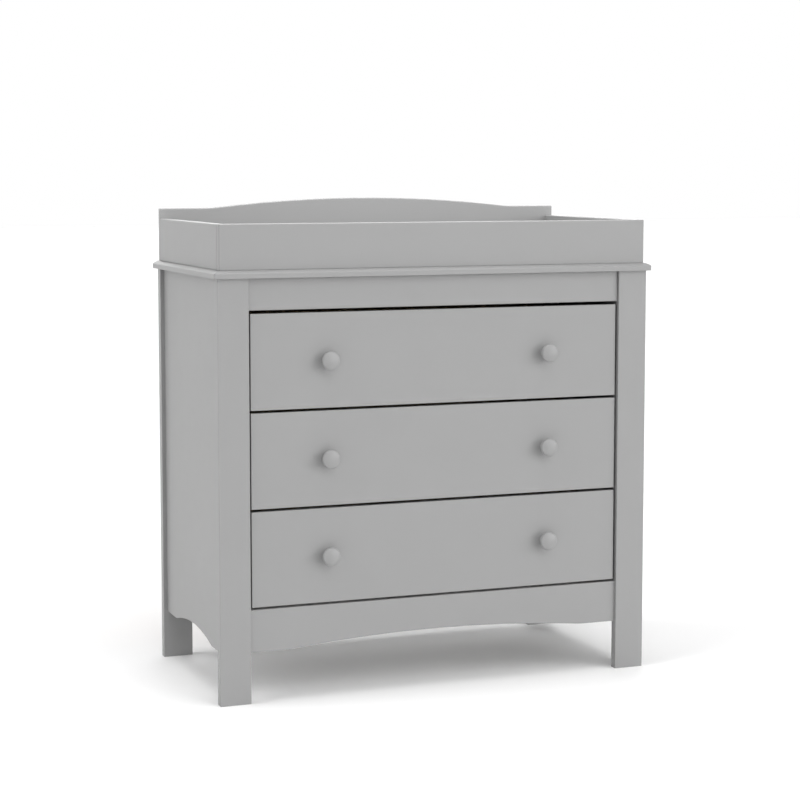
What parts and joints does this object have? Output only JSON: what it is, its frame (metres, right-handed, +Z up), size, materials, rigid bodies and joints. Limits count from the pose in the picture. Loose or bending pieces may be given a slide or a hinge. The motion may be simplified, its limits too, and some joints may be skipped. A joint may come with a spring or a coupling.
{
  "type": "changing table",
  "caption": "Painted chest of drawers on flat board legs with arched apron, turned knobs and a changing tray with a crowned back on top.",
  "frame": {"origin": "on the floor, at the centre of the footprint of the whole object, knobs and rear plates included", "axes": "+Z up, +Y towards the back, +X to the right of a person who faces the drawers"},
  "size_m": [0.896, 0.4654, 0.9378],
  "materials": {
    "painted_board": "smooth satin grey paint on medium-density board",
    "painted_knob": "satin grey paint on turned wood",
    "faced_hardboard": "hardboard with a light grey foil face",
    "ply": "sanded birch plywood, clear sealed",
    "hardboard": "smooth-faced hardboard",
    "runner_steel": "epoxy powder coat",
    "nylon": "moulded",
    "zinc_steel": "bright zinc plate"
  },
  "bodies": {
    "chest": {"front_leg_left": "painted_board", "front_leg_right": "painted_board", "rear_leg_left": "painted_board", "rear_leg_right": "painted_board", "side_panel_left": "painted_board", "side_panel_right": "painted_board", "front_post_left": "painted_board", "front_post_right": "painted_board", "rear_post_left": "painted_board", "rear_post_right": "painted_board", "top_panel": "painted_board", "front_top_rail": "painted_board", "front_apron": "painted_board", "rear_top_rail": "painted_board", "rear_bottom_rail": "painted_board", "front_stretcher": "painted_board", "back_panel": "hardboard", "top_brackets": "zinc_steel", "case_fasteners": "zinc_steel", "tray_front": "painted_board", "tray_back": "painted_board", "tray_side_left": "painted_board", "tray_side_right": "painted_board", "tray_plates": "zinc_steel", "case_runners_bottom": "runner_steel", "case_runners_middle": "runner_steel", "case_runners_top": "runner_steel"},
    "drawer_bottom": {"drawer_bottom_front": "painted_board", "drawer_bottom_side_left": "ply", "drawer_bottom_side_right": "ply", "drawer_bottom_back": "ply", "drawer_bottom_bottom": "faced_hardboard", "drawer_bottom_knob_left": "painted_knob", "drawer_bottom_knob_right": "painted_knob", "drawer_bottom_runners": "runner_steel", "drawer_bottom_screws": "zinc_steel"},
    "case_rollers_bottom": {"case_rollers_bottom": "nylon"},
    "drawer_bottom_rollers": {"drawer_bottom_rollers": "nylon"},
    "drawer_middle": {"drawer_middle_front": "painted_board", "drawer_middle_side_left": "ply", "drawer_middle_side_right": "ply", "drawer_middle_back": "ply", "drawer_middle_bottom": "faced_hardboard", "drawer_middle_knob_left": "painted_knob", "drawer_middle_knob_right": "painted_knob", "drawer_middle_runners": "runner_steel", "drawer_middle_screws": "zinc_steel"},
    "case_rollers_middle": {"case_rollers_middle": "nylon"},
    "drawer_middle_rollers": {"drawer_middle_rollers": "nylon"},
    "drawer_top": {"drawer_top_front": "painted_board", "drawer_top_side_left": "ply", "drawer_top_side_right": "ply", "drawer_top_back": "ply", "drawer_top_bottom": "faced_hardboard", "drawer_top_knob_left": "painted_knob", "drawer_top_knob_right": "painted_knob", "drawer_top_runners": "runner_steel", "drawer_top_screws": "zinc_steel"},
    "case_rollers_top": {"case_rollers_top": "nylon"},
    "drawer_top_rollers": {"drawer_top_rollers": "nylon"}
  },
  "joints": [
    {"name": "drawer_bottom_slide", "type": "slide", "parent": "chest", "child": "drawer_bottom", "axis": [0, -1, 0], "range_m": [0, 0.26]},
    {"name": "case_rollers_bottom_spin", "type": "hinge", "parent": "chest", "child": "case_rollers_bottom", "pos_m": [0, -0.17475, 0.2154], "axis": [1, 0, 0], "continuous": true},
    {"name": "drawer_bottom_rollers_spin", "type": "hinge", "parent": "drawer_bottom", "child": "drawer_bottom_rollers", "pos_m": [0, 0.14725, 0.2104], "axis": [1, 0, 0], "continuous": true},
    {"name": "drawer_middle_slide", "type": "slide", "parent": "chest", "child": "drawer_middle", "axis": [0, -1, 0], "range_m": [0, 0.26]},
    {"name": "case_rollers_middle_spin", "type": "hinge", "parent": "chest", "child": "case_rollers_middle", "pos_m": [0, -0.17475, 0.40053], "axis": [1, 0, 0], "continuous": true},
    {"name": "drawer_middle_rollers_spin", "type": "hinge", "parent": "drawer_middle", "child": "drawer_middle_rollers", "pos_m": [0, 0.14725, 0.39553], "axis": [1, 0, 0], "continuous": true},
    {"name": "drawer_top_slide", "type": "slide", "parent": "chest", "child": "drawer_top", "axis": [0, -1, 0], "range_m": [0, 0.26]},
    {"name": "case_rollers_top_spin", "type": "hinge", "parent": "chest", "child": "case_rollers_top", "pos_m": [0, -0.17475, 0.58567], "axis": [1, 0, 0], "continuous": true},
    {"name": "drawer_top_rollers_spin", "type": "hinge", "parent": "drawer_top", "child": "drawer_top_rollers", "pos_m": [0, 0.14725, 0.58067], "axis": [1, 0, 0], "continuous": true}
  ],
  "couplings": [
    {"joint": "case_rollers_bottom_spin", "follows": "drawer_bottom_slide", "rad_per_m": 90.909},
    {"joint": "drawer_bottom_rollers_spin", "follows": "drawer_bottom_slide", "rad_per_m": 80},
    {"joint": "case_rollers_middle_spin", "follows": "drawer_middle_slide", "rad_per_m": 90.909},
    {"joint": "drawer_middle_rollers_spin", "follows": "drawer_middle_slide", "rad_per_m": 80},
    {"joint": "case_rollers_top_spin", "follows": "drawer_top_slide", "rad_per_m": 90.909},
    {"joint": "drawer_top_rollers_spin", "follows": "drawer_top_slide", "rad_per_m": 80}
  ]
}
